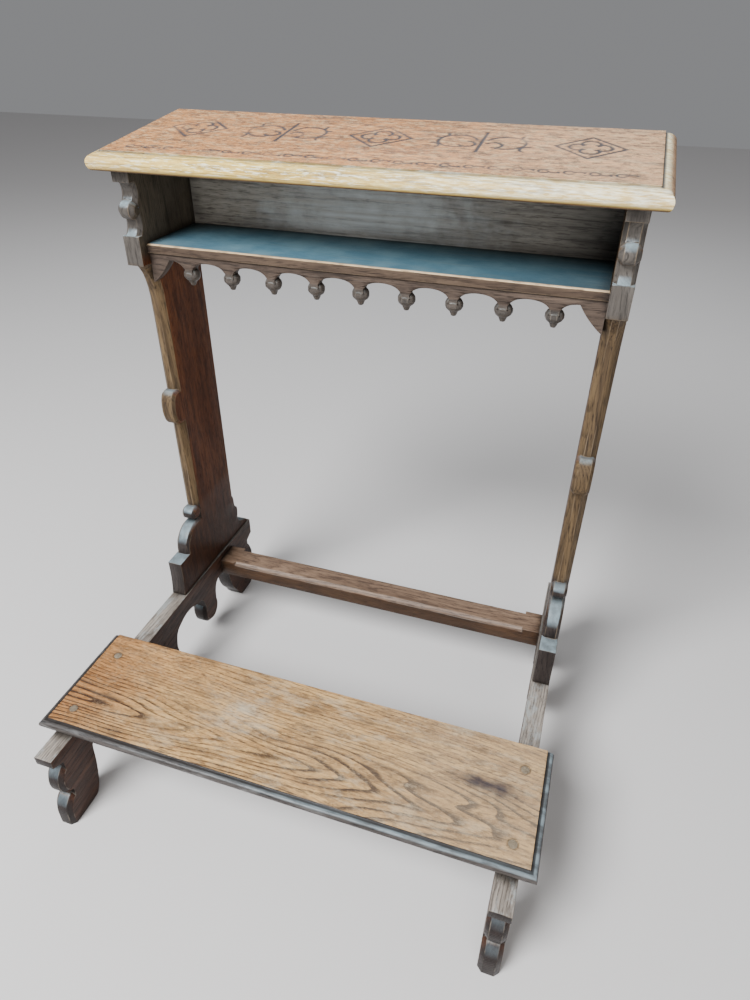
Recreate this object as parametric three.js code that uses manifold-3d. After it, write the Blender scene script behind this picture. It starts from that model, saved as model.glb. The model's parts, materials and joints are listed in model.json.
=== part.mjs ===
// Gothic Revival oak prie-dieu: a sloping book desk and shelf on two shaped uprights, standing on
// scrolled sledge runners that also carry the kneeling board.
// Millimetres, +Z up. The origin is on the floor under the middle of the whole piece, +X is to the
// right of someone kneeling at the desk and +Y points away from them.
import * as THREE from "three";
import { mergeVertices } from "three/addons/utils/BufferGeometryUtils.js";
import Module from "manifold-3d";

const wasm = await Module();
wasm.setup();

// ---------------------------------------------------------------- driving dimensions
const GAP = 0.3;                 // glue-line clearance between touching pieces

const DEPTH_HALF = 277.5;        // runner tips, before and behind the origin
const RUNNER_OUT = 304.5;        // outer face of runners and uprights
const RUNNER_THICK = 26;
const RUNNER_TOP = 137.5;
const RUNNER_IN = RUNNER_OUT - RUNNER_THICK;
const RUNNER_CHAMFER = 5.5;
const SCROLL_PITCH = 127;        // from one hanging scroll to the next
const SCROLL_LAST = 116;         // middle of the scroll nearest the back foot
const SCROLL_COUNT = 3;
const SCROLL_BOTTOM = 28;
const ARCH_TOP = 106;            // crown of the arches between the scrolls
const EYE_R = 4.6;               // drilled eyes beside each scroll

const UPRIGHT_THICK = 23;
const UPRIGHT_IN = RUNNER_OUT - UPRIGHT_THICK;
const UPRIGHT_MID = RUNNER_OUT - UPRIGHT_THICK / 2;
const UPRIGHT_BACK = 232;
const SHAFT_FRONT = 126;
const UPRIGHT_CHAMFER = 7.5;
const NECK_FRONT = 104;          // above the shelf block, either side of the neck roll
const NECK_CHAMFER = 5;
const ROLL_CHAMFER = 4;
const NECK_ROLL_R = 11;
const NECK_ROLL_Z = 720;
const BLOCK_FRONT = 98.5;
const BLOCK_Z = [654, 690];      // square block beside the shelf
const TOP_BLOCK_FOOT = 751.5;    // lower edge of the block under the desk

const DESK_HALF_X = 322;
const DESK_SLOPE = THREE.MathUtils.degToRad(8.3);
const DESK_THICK = 20.5;
const DESK_LENGTH = 195;         // along the slope, over the nosing
const DESK_BACK_Y = 270.5;
const DESK_BACK_Z = 813.5;
const DESK_NOSE = 14;            // how far the thumbnail moulding runs in from the edge

const SHELF_TOP = 679.4;
const SHELF_THICK = 11.4;
const SHELF_FRONT = 112.5;
const HOUSING = 5;               // depth of the housings that hold the shelf
const SHELF_SHOULDER = 2;        // top of the shelf cut back where it enters the housings

const FRIEZE_FRONT = 115;
const FRIEZE_THICK = 16;
const FRIEZE_PITCH = 57;
const FRIEZE_BALLS = 9;
const FRIEZE_ARCH_Z = 660.5;
const FRIEZE_BALL_Z = 643.5;
const FRIEZE_BALL = { wide: 11.2, deep: 10, high: 9.5 };   // half sizes of each pendant ball
const FRIEZE_NUB_Z = 630;

const BACK_THICK = 10;

const KNEELER_HALF_X = 323.5;
const KNEELER_FRONT = -237.5;
const KNEELER_BACK = -71.5;
const KNEELER_TOP = 157.5;
const KNEELER_THICK = KNEELER_TOP - RUNNER_TOP - GAP;

const STRETCHER_Y = [164, 207];
const STRETCHER_Z = [97, 126];
const STRETCHER_CHAMFER = 7;
const STRETCHER_SQUARE = 26;     // length left unchamfered beside each runner

const PEG_R = 5.5;
const PEG_LENGTH = 44;           // below the kneeling board's top
const PEG_PROUD = 0.4;           // how far the plugs stand above the board
const PEG_Y = [-206, -108];      // the two plugs at each end of the kneeling board
const DOWEL_R = 5;
const DOWEL_REACH = { down: 18, up: 12 };        // into the upright and into the desk
const DOWEL_Y = [136, 204];
const DRAWBORE_R = 4;
const DRAWBORE_STOP = 3.5;       // wood left between a peg's tip and the runner's inner face
const DRAWBORE_Y = [90, 124, 230];
const DRAWBORE_Z = 125;
const STRETCHER_PEG_R = 3.5;
const STRETCHER_PEG_IN = 7.5;    // from the runner's inner face to the middle of the peg
const SCREW_R = 2;
const SCREW_HEAD_R = 4.4;
const SCREW_LENGTH = 30;
const SCREW_SUNK = 0.4;          // head below the back board's rear face
const SCREW_CONE = 3.2;          // depth of the countersunk head
const SCREW_SLOT = { wide: 1, deep: 1 };

const RUNNER_TENONS = [[72, 142], [214, 246]];   // where each upright's tenons stand, along Y
const RUNNER_TENON_X = [288.5, 297.5];
const RUNNER_TENON_DEPTH = 25;
const STRETCHER_TENON = { length: 14, y: [173, 198], z: [105, 121] };

const SIDES = { left: -1, right: 1 };

const CURVE_STEPS = 5;           // straight steps in each curved stretch of an outline
const ROUND_SIDES = 12;          // sides of pegs, screws and eyes

// ---------------------------------------------------------------- materials
const finish = (color, roughness) => new THREE.MeshStandardMaterial({ color, roughness, metalness: 0 });
const MATERIALS = {
  desk: finish(0xa8714a, 0.55),
  upright: finish(0x5e3f26, 0.4),
  runner: finish(0x6a5138, 0.5),
  kneeler: finish(0xa87844, 0.5),
  shelf: finish(0x4b5a58, 0.6),
  back: finish(0x6b5c4a, 0.6),
  frieze: finish(0x6e5f4c, 0.5),
  stretcher: finish(0x75614a, 0.5),
  peg: finish(0x8a6a45, 0.6),
  screw: new THREE.MeshStandardMaterial({ color: 0x6b6358, roughness: 0.45, metalness: 0.9 }),
};

// ---------------------------------------------------------------- solids
function solid(geometry) {
  const bare = geometry.index ? geometry.toNonIndexed() : geometry.clone();
  bare.deleteAttribute("normal");
  bare.deleteAttribute("uv");
  const merged = mergeVertices(bare, 1e-4);
  return new wasm.Manifold(new wasm.Mesh({
    numProp: 3,
    vertProperties: new Float32Array(merged.attributes.position.array),
    triVerts: new Uint32Array(merged.index.array),
  }));
}

function toGeometry(body) {
  const mesh = body.getMesh();
  const geometry = new THREE.BufferGeometry();
  geometry.setAttribute("position", new THREE.BufferAttribute(new Float32Array(mesh.vertProperties), 3));
  geometry.setIndex(new THREE.BufferAttribute(new Uint32Array(mesh.triVerts), 1));
  geometry.computeVertexNormals();
  return geometry;
}

function box(x, y, z) {
  const geometry = new THREE.BoxGeometry(x[1] - x[0], y[1] - y[0], z[1] - z[0]);
  geometry.translate((x[0] + x[1]) / 2, (y[0] + y[1]) / 2, (z[0] + z[1]) / 2);
  return solid(geometry);
}

// A round bar from one point to another.
function bar(from, to, radius, sides = ROUND_SIDES) {
  const start = new THREE.Vector3(...from);
  const end = new THREE.Vector3(...to);
  const geometry = new THREE.CylinderGeometry(radius, radius, start.distanceTo(end), sides);
  const turn = new THREE.Quaternion().setFromUnitVectors(
    new THREE.Vector3(0, 1, 0), end.clone().sub(start).normalize());
  geometry.applyQuaternion(turn);
  geometry.translate(...start.add(end).multiplyScalar(0.5).toArray());
  return solid(geometry);
}

// An outline in the Y-Z plane becomes a board whose thickness runs along X.
const STAND_UP = new THREE.Matrix4().makeBasis(
  new THREE.Vector3(0, 1, 0), new THREE.Vector3(0, 0, 1), new THREE.Vector3(1, 0, 0));

function board(shape, x, chamfer = 0, placement = new THREE.Matrix4()) {
  const depth = x[1] - x[0] - 2 * chamfer;
  const geometry = new THREE.ExtrudeGeometry(shape, {
    depth,
    curveSegments: CURVE_STEPS,
    bevelEnabled: chamfer > 0,
    bevelThickness: chamfer,
    bevelSize: chamfer,
    bevelOffset: -chamfer,
    bevelSegments: 1,
  });
  geometry.applyMatrix4(STAND_UP);
  geometry.translate(x[0] + chamfer, 0, 0);
  geometry.applyMatrix4(placement);
  return solid(geometry);
}

// A round or oval lobe seen from the side, with its two rims chamfered.
function lobe(y, z, radiusY, radiusZ, x, chamfer) {
  const half = (x[1] - x[0]) / 2;
  const inner = 1 - chamfer / Math.min(radiusY, radiusZ);
  const profile = [[0, -half], [inner, -half], [1, chamfer - half],
    [1, half - chamfer], [inner, half], [0, half]];
  const geometry = new THREE.LatheGeometry(profile.map((p) => new THREE.Vector2(...p)), 20);
  geometry.rotateZ(-Math.PI / 2);
  geometry.scale(1, radiusY, radiusZ);
  geometry.translate(x[0] + half, y, z);
  return solid(geometry);
}

function polygon(points) {
  return new THREE.Shape(points.map((p) => new THREE.Vector2(...p)));
}

const unite = (first, ...rest) => rest.reduce((sum, body) => sum.add(body), first);
const cut = (first, ...rest) => rest.reduce((left, body) => left.subtract(body), first);

// The left-hand copy of a right-hand geometry.
function mirrored(geometry) {
  const copy = geometry.clone().scale(-1, 1, 1);
  const index = copy.index.array;
  for (let i = 0; i < index.length; i += 3) {
    const second = index[i + 1];
    index[i + 1] = index[i + 2];
    index[i + 2] = second;
  }
  copy.computeVertexNormals();
  return copy;
}

// ---------------------------------------------------------------- desk geometry
const deskTopZ = (y) => DESK_BACK_Z + (y - DESK_BACK_Y) * Math.tan(DESK_SLOPE);
const deskUnderZ = (y) => deskTopZ(y) - DESK_THICK / Math.cos(DESK_SLOPE);

// Thumbnail moulding: distance in from the edge against depth below the top face.
function thumbnail(shape, place) {
  shape.lineTo(...place(DESK_NOSE, 0));
  shape.lineTo(...place(DESK_NOSE, 1.8));
  shape.lineTo(...place(DESK_NOSE - 2, 1.8));
  shape.quadraticCurveTo(...place(0.5, 2.8), ...place(0, 11));
  shape.quadraticCurveTo(...place(0, 18.5), ...place(4, DESK_THICK));
}

function deskTop() {
  const tilt = new THREE.Matrix4().makeTranslation(0, DESK_BACK_Y, DESK_BACK_Z)
    .multiply(new THREE.Matrix4().makeRotationX(DESK_SLOPE))
    .multiply(new THREE.Matrix4().makeTranslation(0, -DESK_LENGTH, 0));
  const slope = new THREE.Shape();
  slope.moveTo(DESK_LENGTH, -DESK_THICK);
  slope.lineTo(DESK_LENGTH, 0);
  thumbnail(slope, (run, drop) => [run, -drop]);
  const lengthways = board(slope, [-DESK_HALF_X - 5, DESK_HALF_X + 5], 0, tilt);

  const ends = bothEnds(thumbnail, DESK_HALF_X, 0, DESK_LENGTH + 10);
  ends.translate(0, DESK_LENGTH + 5, 0);
  ends.applyMatrix4(tilt);
  const holes = [];
  for (const side of Object.values(SIDES)) {
    for (const y of DOWEL_Y) holes.push(dowelBar(side, y, GAP));
  }
  return cut(lengthways.intersect(solid(ends)), ...holes);
}

// A board seen from its front edge, with the same moulding on its left and right ends.
function bothEnds(moulding, halfX, top, depth) {
  const quarter = new THREE.Shape();
  quarter.moveTo(0, top);
  moulding(quarter, (run, drop) => [halfX - run, top - drop]);
  const right = quarter.getPoints(CURVE_STEPS).slice(1);
  const left = right.map((p) => new THREE.Vector2(-p.x, p.y)).reverse();
  const geometry = new THREE.ExtrudeGeometry(new THREE.Shape([...left, ...right]),
    { depth, bevelEnabled: false });
  return geometry.rotateX(Math.PI / 2);
}

// Each dowel stands half in an upright and half in the desk top.
function dowelBar(side, y, clearance) {
  const middle = deskUnderZ(y);
  const x = side * UPRIGHT_MID;
  const foot = middle - DOWEL_REACH.down - clearance;
  return bar([x, y, foot], [x, y, middle + DOWEL_REACH.up + clearance], DOWEL_R + clearance);
}

// ---------------------------------------------------------------- runners
const RUNNER_X = [RUNNER_IN, RUNNER_OUT];

function runnerOutline() {
  const s = new THREE.Shape();
  s.moveTo(-262, 0);
  s.lineTo(-232, 0);
  s.quadraticCurveTo(-220, 2, -216, 24);
  s.quadraticCurveTo(-209, 52, -208.5, 82);
  s.quadraticCurveTo(-206, 101, -193, ARCH_TOP - 4);
  for (let i = SCROLL_COUNT - 1; i >= 0; i -= 1) scrollStem(s, SCROLL_LAST - i * SCROLL_PITCH, i);
  s.quadraticCurveTo(180, 97, 184, 70);
  s.quadraticCurveTo(187, 38, 207, 18);
  s.quadraticCurveTo(212, 2, 222, 0);
  s.lineTo(250, 0);
  s.quadraticCurveTo(269, 2, 271, 24);
  s.lineTo(262, 60);
  s.lineTo(260, 100);
  s.lineTo(DEPTH_HALF, 108);
  s.lineTo(DEPTH_HALF, RUNNER_TOP);
  s.lineTo(-DEPTH_HALF + 3, RUNNER_TOP);
  s.lineTo(-DEPTH_HALF + 3.5, 124);
  s.lineTo(-258, 117);
  s.lineTo(-258, 58);
  return s;
}

// One hanging stem, walked from the arch before it to the arch after it.
function scrollStem(s, y, remaining) {
  s.lineTo(y - 42, 99);
  s.lineTo(y - 26, 95);
  s.quadraticCurveTo(y - 17, 88, y - 17, 64);
  s.lineTo(y + 17, 60);
  s.quadraticCurveTo(y + 17, 96, y + 34, 99);
  if (remaining > 0) s.quadraticCurveTo(y + 59, ARCH_TOP + 8, y + SCROLL_PITCH - 42, 99);
  else s.lineTo(y + 47, 99);
}

function footPad() {
  const s = new THREE.Shape();
  s.moveTo(-DEPTH_HALF, -20);
  s.lineTo(-DEPTH_HALF, 23);
  s.quadraticCurveTo(-276, 44, -262, 50);
  s.lineTo(-240, 52);
  s.lineTo(-236, -20);
  return board(s, RUNNER_X, RUNNER_CHAMFER);
}

function runner() {
  const lobes = [lobe(-249, 80, 24.5, 30, RUNNER_X, RUNNER_CHAMFER),
    lobe(254, 64, DEPTH_HALF - 254, 27, RUNNER_X, RUNNER_CHAMFER)];
  const eyes = [[-265.5, 114], [-265.5, 53], [266, 97]];
  for (let i = 0; i < SCROLL_COUNT; i += 1) {
    const y = SCROLL_LAST - i * SCROLL_PITCH;
    lobes.push(lobe(y, SCROLL_BOTTOM + 27, 24, 27, RUNNER_X, RUNNER_CHAMFER));
    eyes.push([y - 29, 91]);
  }
  const holes = eyes.map(([y, z]) => bar([RUNNER_IN - 1, y, z], [RUNNER_OUT + 1, y, z], EYE_R));
  const body = unite(board(runnerOutline(), RUNNER_X), footPad(), ...lobes);
  const pegs = PEG_Y.map((y) => kneelerPegBar(1, y, GAP));
  const below = box([RUNNER_IN - 5, RUNNER_OUT + 5], [-300, 300], [-60, 0]);
  return cut(body, below, ...holes, ...pegs, ...runnerMortises());
}

function runnerMortises() {
  const floor = RUNNER_TOP - RUNNER_TENON_DEPTH - GAP;
  const mortises = RUNNER_TENONS.map(([y0, y1]) => box(
    [RUNNER_TENON_X[0] - GAP, RUNNER_TENON_X[1] + GAP], [y0 - GAP, y1 + GAP], [floor, RUNNER_TOP + 1]));
  const t = STRETCHER_TENON;
  mortises.push(box([RUNNER_IN - 1, RUNNER_IN + t.length + GAP],
    [t.y[0] - GAP, t.y[1] + GAP], [t.z[0] - GAP, t.z[1] + GAP]));
  for (const y of DRAWBORE_Y) mortises.push(drawborePegBar(1, y, GAP));
  mortises.push(stretcherPegBar(1, GAP));
  return mortises;
}

function kneelerPegBar(side, y, clearance) {
  const x = side * (RUNNER_IN + RUNNER_OUT) / 2;
  const foot = KNEELER_TOP - PEG_LENGTH - clearance;
  return bar([x, y, foot], [x, y, KNEELER_TOP + PEG_PROUD + clearance], PEG_R + clearance);
}

// Drawbore pegs run in from the outer face and stop short of the inner one.
function drawborePegBar(side, y, clearance) {
  return bar([side * (RUNNER_IN + DRAWBORE_STOP - clearance), y, DRAWBORE_Z],
    [side * (RUNNER_OUT + clearance), y, DRAWBORE_Z], DRAWBORE_R + clearance);
}

// The stretcher's tenon is pinned from above, under the upright's shoulder.
function stretcherPegBar(side, clearance) {
  const y = (STRETCHER_TENON.y[0] + STRETCHER_TENON.y[1]) / 2;
  const x = side * (RUNNER_IN + STRETCHER_PEG_IN);
  return bar([x, y, STRETCHER_TENON.z[0] - 2 - clearance], [x, y, RUNNER_TOP - 0.5 + clearance],
    STRETCHER_PEG_R + clearance);
}

// ---------------------------------------------------------------- uprights
const UPRIGHT_X = [UPRIGHT_IN, RUNNER_OUT];
const UPRIGHT_FOOT = RUNNER_TOP + GAP;

// Shaft with chamfered front arrises, from behind the base rolls to the shelf block.
function shaft() {
  const s = new THREE.Shape();
  s.moveTo(SHAFT_FRONT, UPRIGHT_FOOT + 40);
  s.lineTo(190, UPRIGHT_FOOT + 40);
  s.lineTo(190, BLOCK_Z[1] - 10);
  s.lineTo(103, BLOCK_Z[1] - 10);
  s.lineTo(103, 656);
  s.quadraticCurveTo(124, 638, SHAFT_FRONT, 600);
  return board(s, UPRIGHT_X, UPRIGHT_CHAMFER);
}

// Two coves, one from the shelf block up to the neck roll and one from the roll to the top block.
function neck() {
  const s = new THREE.Shape();
  s.moveTo(BLOCK_FRONT + 1, BLOCK_Z[1] - 8);
  s.lineTo(190, BLOCK_Z[1] - 8);
  s.lineTo(190, TOP_BLOCK_FOOT + 8);
  s.lineTo(NECK_FRONT - 1, TOP_BLOCK_FOOT + 8);
  s.lineTo(NECK_FRONT - 1, TOP_BLOCK_FOOT);
  s.quadraticCurveTo(NECK_FRONT + 10, 741, NECK_FRONT, NECK_ROLL_Z + 9);
  s.lineTo(NECK_FRONT + 2, NECK_ROLL_Z - 9);
  s.quadraticCurveTo(NECK_FRONT + 6, 697, BLOCK_FRONT + 1, BLOCK_Z[1]);
  return board(s, UPRIGHT_X, NECK_CHAMFER);
}

function rearPlank() {
  const s = new THREE.Shape();
  s.moveTo(150, UPRIGHT_FOOT);
  s.lineTo(274, UPRIGHT_FOOT);
  s.quadraticCurveTo(272, 146, 258, 149);
  s.quadraticCurveTo(245, 152, 241, 166);
  s.quadraticCurveTo(247, 178, 243, 189);
  s.quadraticCurveTo(236, 192, 236, 203);
  s.quadraticCurveTo(236, 215, UPRIGHT_BACK, 218);
  s.lineTo(UPRIGHT_BACK, 790);
  s.lineTo(150, 790);
  return board(s, UPRIGHT_X);
}

function baseBlock() {
  const s = new THREE.Shape();
  s.moveTo(52.5, UPRIGHT_FOOT);
  s.lineTo(200, UPRIGHT_FOOT);
  s.lineTo(200, 199);
  s.lineTo(56.5, 199);
  s.quadraticCurveTo(58, 160, 52.5, UPRIGHT_FOOT);
  return board(s, UPRIGHT_X);
}

function baseRoll() {
  const s = new THREE.Shape();
  s.moveTo(84, 185);
  s.quadraticCurveTo(79, 212, 88, 224);
  s.quadraticCurveTo(97, 236, 111, 241);
  s.lineTo(160, 243);
  s.lineTo(160, 185);
  return board(s, UPRIGHT_X, ROLL_CHAMFER);
}

function middleLobe() {
  const s = new THREE.Shape();
  s.moveTo(128, 417);
  s.quadraticCurveTo(109, 418, 109, 442);
  s.quadraticCurveTo(109, 466, 120, 471);
  s.lineTo(160, 471);
  s.lineTo(160, 417);
  return board(s, UPRIGHT_X, ROLL_CHAMFER);
}

// Square blocks where the chamfers stop, beside the shelf and under the desk.
function squareBlocks() {
  const beside = polygon([[BLOCK_FRONT, BLOCK_Z[0]], [160, BLOCK_Z[0]],
    [160, BLOCK_Z[1]], [BLOCK_FRONT + 0.5, BLOCK_Z[1]]]);
  const under = polygon([[BLOCK_FRONT + 0.5, TOP_BLOCK_FOOT], [160, TOP_BLOCK_FOOT],
    [160, 790], [BLOCK_FRONT + 0.5, 790]]);
  return [board(beside, UPRIGHT_X), board(under, UPRIGHT_X)];
}

function upright() {
  const tenons = RUNNER_TENONS.map(([y0, y1]) => box(
    RUNNER_TENON_X, [y0, y1], [RUNNER_TOP - RUNNER_TENON_DEPTH, UPRIGHT_FOOT + 5]));
  const smallRoll = lobe(124, 255.5, 13, 11, UPRIGHT_X, ROLL_CHAMFER);
  const neckRoll = lobe(NECK_FRONT + 1.5, NECK_ROLL_Z, NECK_ROLL_R, NECK_ROLL_R, UPRIGHT_X,
    ROLL_CHAMFER + 1.5);
  const body = unite(rearPlank(), shaft(), baseBlock(), baseRoll(), smallRoll, middleLobe(),
    neck(), neckRoll, ...squareBlocks(), ...tenons);
  const aboveDesk = new THREE.Shape();
  aboveDesk.moveTo(80, deskUnderZ(80) - GAP);
  aboveDesk.lineTo(300, deskUnderZ(300) - GAP);
  aboveDesk.lineTo(300, 900);
  aboveDesk.lineTo(80, 900);
  const housing = box([UPRIGHT_IN - 1, UPRIGHT_IN + HOUSING + GAP], [SHELF_FRONT - GAP, UPRIGHT_BACK + 1],
    [SHELF_TOP - SHELF_THICK - GAP, SHELF_TOP - SHELF_SHOULDER + GAP]);
  const holes = [housing, ...DRAWBORE_Y.map((y) => drawborePegBar(1, y, GAP)),
    ...DOWEL_Y.map((y) => dowelBar(1, y, GAP)), ...UPRIGHT_SCREWS.map((z) => screwHole(UPRIGHT_MID, z))];
  return cut(body, board(aboveDesk, [UPRIGHT_IN - 5, RUNNER_OUT + 5]), ...holes);
}

// ---------------------------------------------------------------- shelf, frieze, back board
const FRIEZE_MID = FRIEZE_FRONT + FRIEZE_THICK / 2;
const FRIEZE_HALF_X = UPRIGHT_IN - GAP;
const TONGUE = { halfThick: 2.5, high: 3.5 };

function shelf() {
  const half = UPRIGHT_IN + HOUSING;
  const y = [SHELF_FRONT, UPRIGHT_BACK - GAP];
  const z = [SHELF_TOP - SHELF_THICK, SHELF_TOP];
  const housed = box([-half, half], y, [z[0], z[1] - SHELF_SHOULDER]);
  const groove = box([-FRIEZE_HALF_X - GAP, FRIEZE_HALF_X + GAP],
    [FRIEZE_MID - TONGUE.halfThick - GAP, FRIEZE_MID + TONGUE.halfThick + GAP],
    [z[0] - 1, z[0] + TONGUE.high + GAP]);
  const screws = SHELF_SCREWS.map((x) => screwHole(x, SHELF_SCREW_Z));
  return cut(housed.add(box([-FRIEZE_HALF_X, FRIEZE_HALF_X], y, z)), groove, ...screws);
}

// Nine little arches hang between cusps; each cusp ends in a carved ball with a nub under it.
function friezeOutline(top) {
  const s = new THREE.Shape();
  const neck = 5;
  const neckZ = FRIEZE_BALL_Z + 7;
  const first = -FRIEZE_PITCH * (FRIEZE_BALLS - 1) / 2;
  s.moveTo(-FRIEZE_HALF_X, top);
  s.lineTo(-FRIEZE_HALF_X, 630);
  s.lineTo(-FRIEZE_HALF_X + 4, 633);
  s.quadraticCurveTo(-262, 646, -254, FRIEZE_ARCH_Z);
  for (let i = 0; i < FRIEZE_BALLS; i += 1) {
    const x = first + i * FRIEZE_PITCH;
    if (i > 0) s.lineTo(x - FRIEZE_PITCH / 2, FRIEZE_ARCH_Z);
    s.quadraticCurveTo(x - 10, FRIEZE_ARCH_Z, x - neck, neckZ);
    s.lineTo(x - neck, FRIEZE_BALL_Z);
    s.lineTo(x + neck, FRIEZE_BALL_Z);
    s.lineTo(x + neck, neckZ);
    s.quadraticCurveTo(x + 10, FRIEZE_ARCH_Z, x + FRIEZE_PITCH / 2 - 3, FRIEZE_ARCH_Z);
  }
  s.quadraticCurveTo(262, 646, FRIEZE_HALF_X - 4, 633);
  s.lineTo(FRIEZE_HALF_X, 630);
  s.lineTo(FRIEZE_HALF_X, top);
  return s;
}

function frieze() {
  const top = SHELF_TOP - SHELF_THICK - GAP;
  const geometry = new THREE.ExtrudeGeometry(friezeOutline(top), {
    depth: FRIEZE_THICK, curveSegments: CURVE_STEPS, bevelEnabled: false });
  geometry.rotateX(Math.PI / 2);
  geometry.translate(0, FRIEZE_FRONT + FRIEZE_THICK, 0);
  let body = solid(geometry);
  for (let i = 0; i < FRIEZE_BALLS; i += 1) {
    body = body.add(pendant(FRIEZE_PITCH * (i - (FRIEZE_BALLS - 1) / 2)));
  }
  const tongue = box([-FRIEZE_HALF_X, FRIEZE_HALF_X],
    [FRIEZE_MID - TONGUE.halfThick, FRIEZE_MID + TONGUE.halfThick], [top - 1, top + TONGUE.high]);
  return body.add(tongue);
}

// A flattened ball that stands slightly proud of both faces, drawn down to a nub.
function pendant(x) {
  const ball = new THREE.SphereGeometry(1, 10, 7);
  ball.rotateX(Math.PI / 2);
  ball.scale(FRIEZE_BALL.wide, FRIEZE_BALL.deep, FRIEZE_BALL.high);
  ball.translate(x, FRIEZE_MID, FRIEZE_BALL_Z);
  const nub = new THREE.CylinderGeometry(6.5, 3, 8, 8);
  nub.rotateX(Math.PI / 2);
  nub.translate(x, FRIEZE_MID, FRIEZE_NUB_Z + 4);
  return solid(ball).add(solid(nub));
}

const BACK_FRONT = UPRIGHT_BACK + GAP;
const BACK_FOOT = SHELF_TOP - SHELF_THICK;
const UPRIGHT_SCREWS = [692, 758];
const SHELF_SCREWS = [-190, 0, 190];
const SHELF_SCREW_Z = SHELF_TOP - SHELF_THICK / 2;

function backBoard() {
  const back = BACK_FRONT + BACK_THICK;
  const outline = polygon([[BACK_FRONT, BACK_FOOT], [back, BACK_FOOT],
    [back, deskUnderZ(back) - GAP], [BACK_FRONT, deskUnderZ(BACK_FRONT) - GAP]]);
  const holes = screwPlaces().map(({ x, z }) => screwHole(x, z));
  return cut(board(outline, [-RUNNER_OUT, RUNNER_OUT]), ...holes);
}

function screwPlaces() {
  const places = SHELF_SCREWS.map((x) => ({ x, z: SHELF_SCREW_Z }));
  for (const side of Object.values(SIDES)) {
    for (const z of UPRIGHT_SCREWS) places.push({ x: side * UPRIGHT_MID, z });
  }
  return places;
}

// A countersunk slotted screw driven forwards through the back board; clearance makes its hole.
const SCREW_HEAD_Y = BACK_FRONT + BACK_THICK - SCREW_SUNK;

function screwBody(x, z, clearance) {
  const shank = SCREW_R + clearance;
  const head = SCREW_HEAD_R + clearance;
  const tip = SCREW_LENGTH + clearance;
  const profile = [[0, -clearance], [head, -clearance], [shank, SCREW_CONE], [shank, tip], [0, tip]];
  const geometry = new THREE.LatheGeometry(profile.map((p) => new THREE.Vector2(...p)), ROUND_SIDES);
  geometry.rotateX(Math.PI);
  geometry.translate(x, SCREW_HEAD_Y, z);
  return solid(geometry);
}

function screwHole(x, z) {
  const mouth = bar([x, SCREW_HEAD_Y, z], [x, SCREW_HEAD_Y + 2, z], SCREW_HEAD_R + GAP);
  return screwBody(x, z, GAP).add(mouth);
}

function screw(x, z) {
  const half = SCREW_SLOT.wide / 2;
  const slot = box([x - SCREW_HEAD_R - 1, x + SCREW_HEAD_R + 1],
    [SCREW_HEAD_Y - SCREW_SLOT.deep, SCREW_HEAD_Y + 1], [z - half, z + half]);
  return cut(screwBody(x, z, 0), slot);
}

// ---------------------------------------------------------------- kneeling board and stretcher
// Edge of the kneeling board: a quirk, a half-round nose and a cavetto under it.
function noseEdge(shape, place) {
  shape.lineTo(...place(9, 0));
  shape.lineTo(...place(9, 2.6));
  shape.lineTo(...place(6, 2.6));
  shape.quadraticCurveTo(...place(0, 2.6), ...place(0, 8.2));
  shape.quadraticCurveTo(...place(0, 13.8), ...place(6, 13.8));
  shape.lineTo(...place(8, 13.8));
  shape.quadraticCurveTo(...place(8, 19), ...place(14, KNEELER_THICK));
}

function kneelingBoard() {
  const front = new THREE.Shape();
  front.moveTo(KNEELER_BACK, KNEELER_TOP - KNEELER_THICK);
  front.lineTo(KNEELER_BACK, KNEELER_TOP);
  noseEdge(front, (run, drop) => [KNEELER_FRONT + run, KNEELER_TOP - drop]);
  const lengthways = board(front, [-KNEELER_HALF_X - 5, KNEELER_HALF_X + 5]);

  const ends = bothEnds(noseEdge, KNEELER_HALF_X, KNEELER_TOP, 180);
  ends.translate(0, KNEELER_BACK + 5, 0);
  const holes = [];
  for (const side of Object.values(SIDES)) {
    for (const y of PEG_Y) holes.push(kneelerPegBar(side, y, GAP));
  }
  return cut(lengthways.intersect(solid(ends)), ...holes);
}

// Flat rail whose two upper arrises are chamfered but left square near each end.
function stretcher() {
  const half = RUNNER_IN - GAP;
  const top = STRETCHER_Z[1];
  const length = [STRETCHER_SQUARE - half, half - STRETCHER_SQUARE];
  const front = STRETCHER_Y[0];
  const back = STRETCHER_Y[1];
  const frontChamfer = polygon([[front - 1, top + 1], [front + STRETCHER_CHAMFER, top + 1],
    [front - 1, top - STRETCHER_CHAMFER]]);
  const backChamfer = polygon([[back + 1, top + 1], [back + 1, top - STRETCHER_CHAMFER],
    [back - STRETCHER_CHAMFER, top + 1]]);
  const rail = cut(box([-half, half], STRETCHER_Y, STRETCHER_Z),
    board(frontChamfer, length), board(backChamfer, length));
  const reach = RUNNER_IN + STRETCHER_TENON.length - GAP;
  const tenons = box([-reach, reach], STRETCHER_TENON.y, STRETCHER_TENON.z);
  return cut(rail.add(tenons), stretcherPegBar(-1, GAP), stretcherPegBar(1, GAP));
}

// ---------------------------------------------------------------- assembly
const prieDieu = new THREE.Group();
prieDieu.name = "prie_dieu";

function place(name, body, material, side = 1) {
  const geometry = side > 0 ? toGeometry(body) : mirrored(toGeometry(body));
  const mesh = new THREE.Mesh(geometry, MATERIALS[material]);
  mesh.name = name;
  prieDieu.add(mesh);
}

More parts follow.
